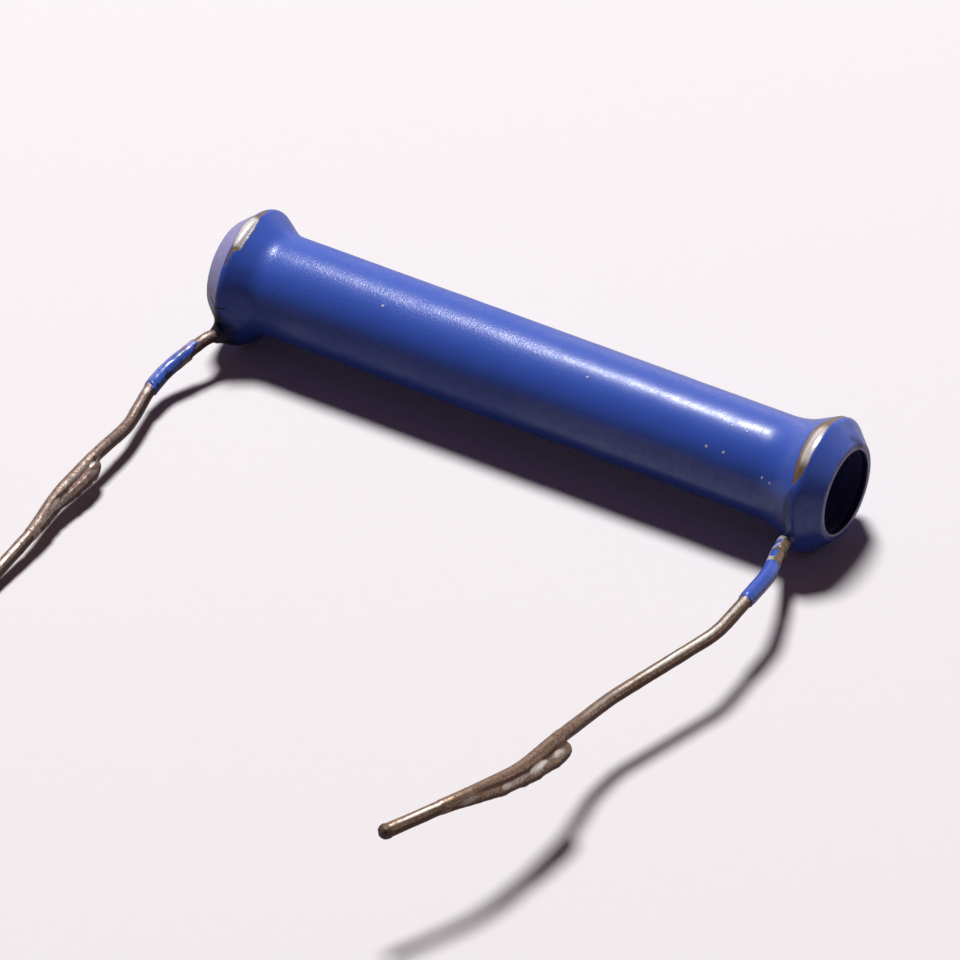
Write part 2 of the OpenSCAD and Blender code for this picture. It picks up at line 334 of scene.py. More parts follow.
# ---------------------------------------------------------------- materials
class Shader:
    """A node material with short ways to add and link nodes."""

    def __init__(self, name):
        self.mat = bpy.data.materials.new(name)
        self.mat.use_nodes = True
        self.tree = self.mat.node_tree
        self.tree.nodes.clear()
        self.out = self.tree.nodes.new("ShaderNodeOutputMaterial")
        self.bsdf = self.tree.nodes.new("ShaderNodeBsdfPrincipled")
        self.tree.links.new(self.bsdf.outputs[0], self.out.inputs[0])
        self.coords = self.tree.nodes.new("ShaderNodeTexCoord").outputs["Object"]

    def put(self, socket, value):
        if isinstance(value, bpy.types.NodeSocket):
            self.tree.links.new(value, socket)
        elif isinstance(value, (tuple, list)) and len(value) == 3 and socket.type == "RGBA":
            socket.default_value = (*value, 1)
        else:
            socket.default_value = value

    def set(self, **values):
        for key_name, value in values.items():
            self.put(self.bsdf.inputs[key_name.replace("_", " ")], value)

    def noise(self, per_mm, detail, rough=0.55):
        n = self.tree.nodes.new("ShaderNodeTexNoise")
        n.inputs["Scale"].default_value = per_mm * 1000
        n.inputs["Detail"].default_value = detail
        n.inputs["Roughness"].default_value = rough
        self.tree.links.new(self.coords, n.inputs["Vector"])
        return n.outputs["Fac"]

    def dots(self, places, radius_mm):
        """1 near any of those points, given in mm, and 0 elsewhere."""
        nearest = None
        for p in places:
            v = self.tree.nodes.new("ShaderNodeVectorMath")
            v.operation = "DISTANCE"
            self.tree.links.new(self.coords, v.inputs[0])
            v.inputs[1].default_value = [c * MM for c in p]
            d = v.outputs["Value"]
            nearest = d if nearest is None else self.math("MINIMUM", nearest, d)
        return self.remap(nearest, radius_mm * MM, radius_mm * MM * 0.5)

    def attribute(self, name):
        a = self.tree.nodes.new("ShaderNodeAttribute")
        a.attribute_name = name
        return a.outputs["Fac"]

    def remap(self, value, a, b, c=0.0, d=1.0):
        """c at a and d at b, with an even rise or fall between."""
        m = self.tree.nodes.new("ShaderNodeMapRange")
        m.interpolation_type = "SMOOTHSTEP"
        if a > b:
            a, b, c, d = b, a, d, c
        self.put(m.inputs[0], value)
        for k, v in zip(range(1, 5), (a, b, c, d)):
            m.inputs[k].default_value = v
        return m.outputs[0]

    def math(self, op, a, b=0.0):
        m = self.tree.nodes.new("ShaderNodeMath")
        m.operation = op
        self.put(m.inputs[0], a)
        self.put(m.inputs[1], b)
        return m.outputs[0]

    def wobble(self, value, per_mm, amount):
        """value plus noise of that amount, even about 0."""
        n = self.math("SUBTRACT", self.noise(per_mm, 4.0), 0.5)
        return self.math("ADD", value, self.math("MULTIPLY", n, 2 * amount))

    def mix(self, fac, a, b):
        m = self.tree.nodes.new("ShaderNodeMix")
        m.data_type = "RGBA"
        self.put(m.inputs[0], fac)
        self.put(m.inputs[6], a)
        self.put(m.inputs[7], b)
        return m.outputs[2]

    def bump(self, height, depth_mm, strength=1.0, under=None):
        b = self.tree.nodes.new("ShaderNodeBump")
        b.inputs["Distance"].default_value = depth_mm * MM
        self.put(b.inputs["Strength"], strength)
        self.put(b.inputs["Height"], height)
        if under is not None:
            self.tree.links.new(under, b.inputs["Normal"])
        return b.outputs[0]


def on_coat(x, degrees, r):
    """The point at x and that many degrees above the front, at that radius."""
    t = math.radians(degrees)
    return (x, -r * math.cos(t), r * math.sin(t))


# Pale specks on the lacquer, painted bright as glints on small bumps: x, degrees above the front, radius there
SPECK_GLINTS = [(9.61, 67, 2.16), (10.3, 67, 2.16), (8.98, 36, 2.16), (9.75, 36, 2.16),
          (11.64, 25, 2.2), (12.04, 23, 2.28), (3.1, 62, 2.16), (-6.4, 58, 2.16)]


def lacquer_material():
    m = Shader("blue_lacquer")
    broad = m.noise(0.5, 3)
    patch = m.noise(2.2, 4)
    grain = m.noise(9, 3, 0.6)
    fine = m.noise(24, 2, 0.6)
    satin = m.attribute("satin")
    blue = m.mix(broad, (0.038, 0.100, 0.53), (0.052, 0.122, 0.60))
    blue = m.mix(m.remap(patch, 0.60, 0.75, 0, 0.35), blue, (0.028, 0.075, 0.44))
    # Pale specks: small bumps with painted glints
    speck_glints = m.dots([on_coat(*s) for s in SPECK_GLINTS], 0.08)
    blue = m.mix(m.math("MULTIPLY", speck_glints, 0.8), blue, (0.62, 0.64, 0.82))
    # Pale lavender: painted highlight on the mouth edges, painted sheen on the left cone and on the sleeves' lit
    # sides, and other pale marks
    worn = m.remap(m.wobble(m.attribute("worn"), 5, 0.22), 0.25, 0.85)
    blue = m.mix(worn, blue, m.mix(m.noise(6, 4), (0.25, 0.24, 0.53), (0.46, 0.43, 0.79)))
    dark = m.mix(patch, (0.005, 0.008, 0.016), (0.034, 0.026, 0.026))
    # Dark: smudges, the crack and the face edge, and painted shade low on the left end, inside the mouths and on
    # the left collar and sleeve
    stain = m.remap(m.wobble(m.attribute("stain"), 4, 0.15), 0.12, 0.88)
    colour = m.mix(stain, blue, dark)
    ragged = m.wobble(m.attribute("bare"), 5, 0.11)
    bare = m.remap(ragged, 0.46, 0.56)
    tarnish = m.attribute("tarnish")
    rim = m.remap(ragged, 0.36, 0.46)
    colour = m.mix(m.math("MULTIPLY", rim, 0.6), colour, (0.13, 0.095, 0.065))
    # Bare metal: pale silver where the highlight falls, partly a painted highlight, and tarnished gold elsewhere
    silver = m.mix(m.noise(7, 4), (0.92, 0.88, 0.88), (0.72, 0.65, 0.62))
    gold = m.mix(m.noise(5, 4), (0.36, 0.25, 0.15), (0.16, 0.105, 0.065))
    colour = m.mix(bare, colour, m.mix(tarnish, silver, gold))
    rough = m.remap(satin, 0, 1, 0.42, 0.5)
    rough = m.math("ADD", rough, m.math("MULTIPLY", m.math("SUBTRACT", patch, 0.5), 0.1))
    rough = m.math("SUBTRACT", rough, m.math("MULTIPLY", bare, 0.2))
    peel = m.bump(grain, 0.012, m.remap(satin, 0, 1, 0.22, 0.9))
    peel = m.bump(fine, 0.005, m.remap(satin, 0, 1, 0.4, 1.1), peel)
    peel = m.bump(speck_glints, 0.03, 1.0, peel)
    m.set(Base_Color=colour, Metallic=m.math("MULTIPLY", bare, 0.3), Roughness=rough, Normal=peel)
    clean = m.math("SUBTRACT", 1.0, m.math("MAXIMUM", bare, stain))
    film = m.math("MULTIPLY", m.remap(satin, 0, 1, 0.95, 0.45), clean)
    film = m.math("MULTIPLY", film, m.remap(m.noise(5, 3), 0.35, 0.6, 0.75, 1.15))
    m.put(m.bsdf.inputs["Coat Weight"], film)
    m.bsdf.inputs["IOR"].default_value = 1.45
    m.bsdf.inputs["Specular IOR Level"].default_value = 0.35
    m.bsdf.inputs["Coat Roughness"].default_value = 0.22
    m.bsdf.inputs["Coat IOR"].default_value = 1.5
    m.put(m.bsdf.inputs["Coat Normal"], peel)
    return m.mat


def wire_material(name, light, dark, oxide, shine, pits, metal):
    """Old metal: two tones of it, its oxide, least roughness, depth of pits in mm. The oxide colour also paints
    shade on the wires' sides turned from the light and in the solder's grooves, and a pale colour paints
    highlights.
    """
    m = Shader(name)
    mottled = m.noise(3.2, 6, 0.7)
    fine = m.noise(11, 4, 0.65)
    tin = m.mix(m.remap(mottled, 0.34, 0.66), light, dark)
    tin = m.mix(m.remap(fine, 0.50, 0.62, 0, 0.75), tin, oxide)
    # Painted shade: the oxide colour where the wire or solder lies in shade
    tin = m.mix(m.remap(m.wobble(m.attribute("burnt"), 6, 0.2), 0.2, 0.75, 0, 0.9), tin, oxide)
    # Painted highlights: a pale colour
    bright = m.remap(m.wobble(m.attribute("bright"), 7, 0.25), 0.3, 0.9)
    tin = m.mix(bright, tin, (0.66, 0.60, 0.555))
    rough = m.remap(fine, 0.3, 0.7, shine, shine + 0.25)
    dents = m.bump(mottled, pits, 0.7)
    dents = m.bump(fine, pits * 0.5, 0.9, dents)
    m.set(Base_Color=tin, Roughness=rough, Normal=dents)
    m.bsdf.inputs["Metallic"].default_value = metal
    m.bsdf.inputs["IOR"].default_value = 1.45
    return m.mat


def ceramic_material():
    m = Shader("fired_ceramic")
    speck = m.noise(9, 4)
    # The ceramic is painted dark navy: painted shade for the tube seen inside the mouths
    m.set(Base_Color=m.mix(speck, (0.055, 0.062, 0.17), (0.085, 0.095, 0.24)), Roughness=0.75,
          Normal=m.bump(m.noise(20, 3), 0.004))
    m.bsdf.inputs["Specular IOR Level"].default_value = 0.3
    return m.mat


def silver_material(name, dark, light):
    m = Shader(name)
    cloud = m.noise(1.6, 5)
    m.set(Base_Color=m.mix(cloud, dark, light), Metallic=0.3,
          Roughness=m.remap(cloud, 0.3, 0.7, 0.5, 0.7), Normal=m.bump(m.noise(14, 3), 0.005))
    return m.mat


def floor_material():
    """Pale paper, which sends less light back up than it shows."""
    m = Shader("pale_paper")
    fibre = m.noise(1.4, 5)
    path = m.tree.nodes.new("ShaderNodeLightPath")
    gloss = m.math("MULTIPLY", path.outputs["Is Glossy Ray"], 0.36)
    shown = m.math("MAXIMUM", path.outputs["Is Camera Ray"],
                   m.math("MAXIMUM", gloss, path.outputs["Is Transmission Ray"]))
    pale = m.mix(fibre, (0.885, 0.848, 0.862), (0.90, 0.866, 0.878))
    m.set(Base_Color=m.mix(shown, (0.20, 0.165, 0.185), pale), Roughness=0.9,
          Normal=m.bump(m.noise(3, 4), 0.01, 0.4))
    m.bsdf.inputs["Specular IOR Level"].default_value = 0.2
    return m.mat


lacquer = lacquer_material()
wire_mat = wire_material(
    "tinned_wire", (0.38, 0.255, 0.18), (0.24, 0.148, 0.10), (0.10, 0.05, 0.033),
    shine=0.3, pits=0.006, metal=0.6)
aged_mat = wire_material(
    "aged_wire", (0.42, 0.31, 0.26), (0.23, 0.145, 0.12), (0.075, 0.038, 0.03),
    shine=0.28, pits=0.03, metal=0.6)
solder_mat = wire_material(
    "old_solder", (0.39, 0.265, 0.19), (0.25, 0.155, 0.108), (0.10, 0.05, 0.033),
    shine=0.28, pits=0.008, metal=0.6)
lumpy_mat = wire_material(
    "lumpy_solder", (0.42, 0.32, 0.27), (0.23, 0.15, 0.125), (0.075, 0.038, 0.03),
    shine=0.26, pits=0.032, metal=0.6)
burnt_mat = wire_material(
    "burnt_solder", (0.21, 0.13, 0.088), (0.12, 0.072, 0.05), (0.045, 0.028, 0.02),
    shine=0.38, pits=0.03, metal=0.3)
ceramic_mat = ceramic_material()
# The bore's wall is coloured to match the dark navy bore in the photo
silver_mat = silver_material("tarnished_silver", (0.022, 0.021, 0.035), (0.055, 0.052, 0.07))
# The bore's film is painted navy: painted shade in the deep bore
bore_mat = silver_material("bore_film", (0.075, 0.09, 0.27), (0.12, 0.135, 0.36))

# ---------------------------------------------------------------- lacquer coat
# Corners of the coat's outline: x, radius, rounding
OUTLINE = [
    (-TUBE_HALF, LIP_R, 0), (-COAT_END, LIP_R, 0.06), (-COAT_END, FACE_R, 0.12),
    (-13.3244, 2.9118, 0.3), (-12.15, BODY_R, 1.15), (11.87, BODY_R, 3),
    (13.4473, 2.9215, 0.4), (COAT_END, FACE_R, 0.12), (COAT_END, LIP_R, 0.06), (TUBE_HALF, LIP_R, 0),
]


def rounded(corners, steps=10):
    """The outline through those corners, with each one rounded."""
    out = []
    for i, (x, r, rad) in enumerate(corners):
        q = np.array([x, r])
        if rad == 0:
            out.append(q)
            continue
        u = unit(np.array(corners[i - 1][:2]) - q)
        w = unit(np.array(corners[i + 1][:2]) - q)
        half = math.acos(float(np.clip(u @ w, -1, 1))) / 2
        start, end = q + u * rad / math.tan(half), q + w * rad / math.tan(half)
        mid = q + unit(u + w) * rad / math.sin(half)
        a, b = start - mid, end - mid
        sweep = math.atan2(a[0] * b[1] - a[1] * b[0], float(a @ b))
        for k in range(steps + 1):
            c, s = math.cos(sweep * k / steps), math.sin(sweep * k / steps)
            out.append(mid + np.array([a[0] * c - a[1] * s, a[0] * s + a[1] * c]))
    return np.array(out)


def profile_stations():
    """The outline at even steps, fine at the flares and coarse between."""
    line = rounded(OUTLINE)
    s = along(line)
    dense = np.linspace(0, s[-1], 6000)
    xs = np.interp(dense, s, line[:, 0])
    spacing = np.where(np.abs(xs) > 11.0, 0.05, 0.25)
    count = np.concatenate([[0], np.cumsum(np.diff(dense) / spacing[1:])])
    pick = np.interp(np.arange(0, count[-1], 1.0), count, dense)
    pick = np.append(pick, s[-1])
    pts = np.stack([np.interp(pick, s, line[:, 0]), np.interp(pick, s, line[:, 1])], 1)
    t = tangents(pts)
    return pts, np.stack([-t[:, 1], t[:, 0]], 1)


def stroke(x, th, line, width, r=2.7):
    """Distance, in widths, of (x, th) to a stroke of (x, th degrees, share of width)."""
    best = np.full(x.shape, 9.0)
    for (x0, t0, w0), (x1, t1, w1) in zip(line[:-1], line[1:]):
        ax, ay = x0, math.radians(t0) * r
        dx, dy = x1 - x0, math.radians(t1) * r - ay
        px, py = x - ax, th * r - ay
        k = np.clip((px * dx + py * dy) / (dx * dx + dy * dy), 0, 1)
        d = np.hypot(px - k * dx, py - k * dy) / (width * (w0 + (w1 - w0) * k))
        best = np.minimum(best, d)
    return best


# Bare metal on the crests: x, degrees above the front, share of the width
RIGHT_BAND = [(13.22, 33, 0.15), (13.25, 38, 0.42), (13.27, 43, 0.7), (13.26, 52, 0.9), (13.22, 66, 1.0),
              (13.18, 80, 1.0), (13.18, 92, 0.9), (13.25, 106, 0.55), (13.33, 118, 0.35), (13.33, 170, 0.4)]
LEFT_BAND = [(-13.36, 40, 0.2), (-13.31, 54, 0.4), (-13.2, 60, 1.1), (-13.24, 72, 1.35), (-13.3, 82, 1.6),
             (-13.32, 90, 1.3), (-13.27, 97, 0.5), (-13.3, 112, 0.3)]
# The lacquer drawn out along each wire: distance along the wire, radius
RIGHT_COLLAR = [(-0.6, 0.30), (0.6, 0.375), (1.3, 0.345), (1.75, 0.315), (2.0, 0.24)]
LEFT_COLLAR = [(-0.6, 0.40), (0.3, 0.50), (1.1, 0.50), (1.6, 0.43), (1.95, 0.35), (2.15, 0.24)]


def collar_distance(p, wire, collar):
    """Signed distance of the points p to the collar round a wire."""
    s = np.arange(collar[0][0], collar[-1][0], 0.06)
    mid = wire.at(s)[0]
    rad = np.interp(s, *zip(*collar))
    return (np.linalg.norm(p[:, None] - mid[None], axis=2) - rad).min(1)


def smooth_min(a, b, k):
    """The lesser of a and b, blended over k."""
    h = np.clip(0.5 + 0.5 * (b - a) / k, 0, 1)
    return b * (1 - h) + a * h - k * h * (1 - h)


def collar_rise(place, normal, wire, collar, blend, limit):
    """How far each point of the coat rises to close round a wire's collar."""
    rise = np.zeros(place.shape[:2])
    spot = wire.at(np.array([1.0]))[0][0]
    near = np.linalg.norm(place - spot, axis=2) < 2.2
    p, n = place[near], normal[near]
    t = np.zeros(len(p))
    for _ in range(14):
        f = smooth_min(t, collar_distance(p + n * t[:, None], wire, collar), blend)
        t = np.clip(t - f * 0.8, 0, limit)
    rise[near] = t
    return rise


def coat_shell(columns=288):
    pts, nrm = profile_stations()
    th = np.linspace(-math.pi, math.pi, columns, endpoint=False)
    x = np.repeat(pts[:, :1], columns, 1)
    r = np.repeat(pts[:, 1:], columns, 1)
    tt = np.repeat(th[None], len(pts), 0)
    deg = np.degrees(tt)
    out = np.stack([np.zeros(x.shape), -np.cos(tt), np.sin(tt)], -1)
    place = np.stack([x, r * out[..., 1], r * out[..., 2]], -1)
    normal = out * nrm[:, None, 1:] + np.array([1.0, 0, 0]) * nrm[:, None, :1]
    mouth = (r < FACE_R - 0.06) & (np.abs(x) > 13)

    right_band = 1 - 0.5 * stroke(x, tt, RIGHT_BAND, 0.27)
    left_band = 1 - 0.5 * stroke(x, tt, LEFT_BAND, 0.17)
    bare = np.clip(np.maximum(right_band, left_band), 0, 1) * ~mouth
    middle = np.interp(deg, [b[1] for b in RIGHT_BAND], [b[0] for b in RIGHT_BAND])
    # The bands are tarnished gold at their ends, the right one on its inboard side too; the pale silver between,
    # where the highlight falls, is partly a painted highlight
    right_gold_round_highlight = smooth(58, 47, deg) + smooth(84, 96, deg) + 0.8 * smooth(-0.06, -0.17, x - middle)
    tarnish = np.where(x > 0, right_gold_round_highlight, smooth(62, 57, deg) + smooth(91, 96, deg))

    # Dark smudges, painted shade with dark residue low on the left end, the crack and the right face's edge:
    # stroke, width, level
    stain = np.zeros(x.shape)
    for line, width, level in (
        ([(13.2, 27, 0.4), (13.1, 12, 0.9), (13.1, 0, 1.0), (13.15, -14, 1.3), (13.15, -32, 1.4)], 0.3, 0.6),
        ([(12.8, 6, 0.8), (13.0, -8, 1.0)], 0.35, 0.4),
        ([(13.9, -25, 1), (13.5, -22, 1)], 0.3, 0.3),
        # painted shade with dark residue, low on the left end
        ([(-13.45, -8, 0.8), (-13.3, -22, 1.2), (-13.25, -40, 1.2)], 0.4, 1.0),
        ([(-13.86, 4.6, 0.8), (-13.5, 2.4, 1), (-13.07, 2.8, 0.8), (-12.9, 0.5, 0.3)], 0.05, 1.0),
        ([(14.15, 108, 0.7), (14.33, 118, 1), (14.36, 126, 0.8)], 0.2, 0.6),
    ):
        stain = np.maximum(stain, level * (1 - 0.5 * stroke(x, tt, line, width)))
    # Painted shade: inside each mouth the coat is darkened to navy
    stain = np.clip(np.maximum(stain, 0.74 * (np.abs(x) > 13) * smooth(1.80, 1.765, r)), 0, 1)
    # A painted highlight lightens the edge round each mouth and a painted sheen the left end's cone
    lip = smooth(0.075, 0.02, np.abs(r - 1.81)) * smooth(14.2, 14.33, np.abs(x)) * 0.85
    cone_turn = smooth(-12, 6, deg) * smooth(165, 110, deg)
    cone = smooth(-13.36, -13.46, x) * smooth(2.0, 2.1, r) * cone_turn * 0.8
    pink = 0.7 * smooth(1.2, 0.4, stroke(x, tt, [(-13.85, 0, 1), (-13.5, -4, 1)], 0.16))
    worn = np.clip(lip + cone + pink, 0, 1)
    satin = smooth(7.0, -3.0, x) * (0.7 + 0.3 * noise3(place, 0.6))

    lift = 0.012 * noise3(place, 0.4) + 0.006 * noise3(place, 1.7, 7.0) - 0.012
    lift -= 0.022 * smooth(0.45, 0.6, bare)
    crack = stroke(x, tt, [(-13.86, 4.6, 1), (-13.5, 2.4, 1), (-13.07, 2.8, 0.7)], 0.04)
    lift -= 0.03 * smooth(1.3, 0.5, crack)
    lift = np.minimum(lift, 0) * smooth(LIP_R, LIP_R + 0.25, r)
    lift += collar_rise(place, normal, left_wire, LEFT_COLLAR, 0.45, 0.6)
    lift += collar_rise(place, normal, right_wire, RIGHT_COLLAR, 0.2, 0.5)
    outer = place + normal * lift[..., None]
    # The inside, hollowed round each wire's turn
    inner = [(TUBE_HALF, FILM_R), (13.6, FILM_R), (13.4, 2.5), (13.25, 2.64), (12.95, 2.64),
             (12.8, 2.5), (12.55, FILM_R), (0, FILM_R), (-12.55, FILM_R), (-12.8, 2.5), (-12.95, 2.64),
             (-13.25, 2.64), (-13.4, 2.5), (-13.6, FILM_R), (-TUBE_HALF, FILM_R)]
    wall = np.array([[(ix, -ir * math.cos(t), ir * math.sin(t)) for t in th] for ix, ir in inner])
    pad = np.zeros(wall.shape[:2])
    marks = {"bare": bare, "tarnish": np.clip(tarnish, 0, 1), "stain": stain, "worn": worn, "satin": satin}
    marks = {k: np.concatenate([v, pad]) for k, v in marks.items()}
    return shell(np.concatenate([outer, wall]), marks)


def collar_shell(wire, collar, marks, columns=40):
    """The lacquer drawn out along a wire, which ends inside the wire."""
    s = np.arange(collar[0][0], collar[-1][0] + 0.001, 0.05)
    phi = np.linspace(0, 2 * math.pi, columns, endpoint=False)
    grid = wire.stations(s, phi, np.full((len(s), columns), WIRE_R))
    ragged = s[:, None] + 0.10 * noise3(grid, 3.1, 5.0) + 0.05 * noise3(grid, 8, 2.0)
    radius = np.interp(ragged, *zip(*collar)) + 0.015 * noise3(grid, 2.3)
    radius[-1] = 0.2
    marks = {k: np.full(radius.shape, float(v)) for k, v in marks.items()}
    return shell(wire.stations(s, phi, radius), marks, close_rows=False)


right_wire = Wire(RIGHT_TURN_X, RIGHT_BENDS)
left_wire = Wire(LEFT_TURN_X, LEFT_BENDS)
solid("lacquer_skin",
      # The left collar is darkened: painted shade with dark residue
      [coat_shell(), collar_shell(left_wire, LEFT_COLLAR, {"stain": 0.8, "satin": 0.5}),
       collar_shell(right_wire, RIGHT_COLLAR, {"stain": 0.42, "bare": 0.2, "tarnish": 1})],
      lacquer, "lacquer_coat")


# ---------------------------------------------------------------- leads
def spot(s, v, s0, v0, long, wide):
    """1 inside a soft oval on a wire and 0 outside it."""
    return smooth(1.3, 0.6, np.hypot((s - s0) / long, (v - v0) / wide))


def wire_shell(wire, lumps, bright, columns=32):
    """The whole wire, with ovals of painted highlights on its near side, given as (s, across, length, width,
    level).
    """
    s = np.arange(wire.s[0], wire.s[-1], WIRE_STEP)
    s = np.append(s, wire.s[-1])
    phi = np.linspace(0, 2 * math.pi, columns, endpoint=False)
    place = wire.stations(s, phi, np.full((len(s), columns), WIRE_R))
    radius = WIRE_R * (1 + lumps * noise3(place, 1.3) + 0.6 * lumps * noise3(place, 4.5, 3.0)) - 0.004
    ends = np.minimum(s - s[0], s[-1] - s)
    radius = radius * np.sqrt(1 - np.clip(1 - ends / 0.08, 0, 0.8) ** 2)[:, None]
    across, near = np.sin(phi)[None] + 0 * radius, np.cos(phi)[None] + 0 * radius
    mark = np.zeros(radius.shape)
    for s0, v0, long, wide, level in bright:
        mark = np.maximum(mark, level * spot(s[:, None], across, s0, v0, long, wide) * (near > 0))
    # Painted shade on the side of the wire turned from the light
    burnt = 0.9 * smooth(0.0, 0.65, across)
    return shell(wire.stations(s, phi, radius), {"bright": mark, "burnt": burnt}, close_rows=False)


# Painted highlights on the wires: (s, across, length, width, level)
RIGHT_WIRE_HIGHLIGHTS = [(7.8, -0.35, 1.1, 0.4, 0.8), (11, -0.45, 3.6, 0.4, 0.8),
                     (15.5, -0.4, 3, 0.3, 0.6), (26.6, -0.5, 1.6, 0.3, 0.7)]
LEFT_WIRE_HIGHLIGHTS = [(2.5, -0.4, 0.3, 0.3, 0.55), (6.3, -0.25, 0.3, 0.55, 0.75),
                    (7.4, -0.3, 0.9, 0.25, 0.6), (17.5, -0.3, 2.5, 0.35, 0.6)]
solid("right_lead_wire", [wire_shell(right_wire, 0.03, RIGHT_WIRE_HIGHLIGHTS)], wire_mat, "right_lead")
solid("left_lead_wire", [wire_shell(left_wire, 0.05, LEFT_WIRE_HIGHLIGHTS)], aged_mat, "left_lead")


def sleeve_shell(wire, s0, s1, cover, marks, columns=48):
    """Lacquer on a wire: cover(s, across, place) gives its thickness in mm, and
    where that is below 0 the wire lies bare."""
    s = np.arange(s0, s1, 0.035)
    phi = np.linspace(0, 2 * math.pi, columns, endpoint=False)
    flat = np.full((len(s), columns), WIRE_R)
    place = wire.stations(s, phi, flat)
    where = (s[:, None] + 0 * flat, np.sin(phi)[None] + 0 * flat, place)
    thick = cover(*where)
    thick[0] = thick[-1] = -0.03
    outer = wire.stations(s, phi, WIRE_R + np.clip(thick, -0.03, 0.2))
    inner = wire.stations(s[::-1], phi, flat - 0.06)
    data = {k: np.concatenate([f(*where), 0 * flat]) for k, f in marks.items()}
    return shell(np.concatenate([outer, inner]), data)


def right_cover(s, v, p):
    edge = 0.07 * noise3(p, 4, 1.0) + 0.05 * noise3(p, 9, 4.0)
    whole = smooth(4.68, 4.80, s + edge) * smooth(7.24, 7.14, s + edge + 0.05 * v)
    flakes = smooth(-0.15, 0.15, noise3(p, 3.2, 9.0) + 0.25) * smooth(1.55, 1.8, s) * 0.75
    return 0.085 * np.maximum(whole, flakes) - 0.03 + 0.006 * noise3(p, 5, 2.0)


def right_bare(s, v, p):
    blue = spot(s, v, 3.95, -0.55, 0.5, 0.45) + spot(s, v, 2.75, -0.85, 0.4, 0.4)
    blue = blue + 0.35 * noise3(p, 5, 3.0)
    return smooth(4.74, 4.64, s) * (1 - 0.9 * smooth(0.3, 0.6, blue))


def left_cover(s, v, p):
    edge = 0.10 * noise3(p, 4, 1.0) + 0.07 * noise3(p, 9, 4.0)
    whole = smooth(2.95, 3.15, s + edge - 0.42 * smooth(-0.3, 0.8, v))
    whole = whole * smooth(5.98, 5.86, s + edge - 0.12 * v)
    return 0.08 * whole - 0.03 + 0.010 * noise3(p, 5, 2.0) * whole


def left_bare(s, v, p):
    chips = smooth(0.25, 0.5, noise3(p, 4.5, 6.0)) * smooth(4.6, 3.2, s)
    return 0.7 * np.maximum(chips, smooth(0.35, 0.7, v) * smooth(5.0, 3.6, s))


# Darker towards the lower-right side, painted shade, with dark specks from the noise
def left_stain_and_shade(s, v, p):
    return np.clip(0.5 * smooth(-0.1, 0.8, v) + 0.4 * smooth(0.0, 0.6, noise3(p, 6.5, 1.0)), 0, 1)


RIGHT_SLEEVE_MARKS = {
    "bare": right_bare,
    # Pale silver on the lit upper-left side and at a dot near the root: painted highlights; tarnished gold
    # elsewhere
    "tarnish": lambda s, v, p: smooth(-0.85, -0.2, v) * (1 - spot(s, v, 2.0, -0.15, 0.25, 0.4)),
    # Paler near the root: a painted sheen
    "worn": lambda s, v, p: 0.45 * smooth(4.3, 2.6, s),
}
LEFT_SLEEVE_MARKS = {
    "bare": left_bare,
    "tarnish": lambda s, v, p: np.ones(s.shape),
    "stain": left_stain_and_shade,
    # Paler on the upper-left side, a painted sheen, and paler near the upper end
    "worn": lambda s, v, p: 0.45 * smooth(0.0, -0.8, v) + 0.25 * smooth(4.2, 3.2, s),
}
solid("right_lead_sleeve", [sleeve_shell(right_wire, 1.6, 7.4, right_cover, RIGHT_SLEEVE_MARKS)],
      lacquer, "right_lead_lacquer")
solid("left_lead_sleeve", [sleeve_shell(left_wire, 2.7, 6.3, left_cover, LEFT_SLEEVE_MARKS)],
      lacquer, "left_lead_lacquer")


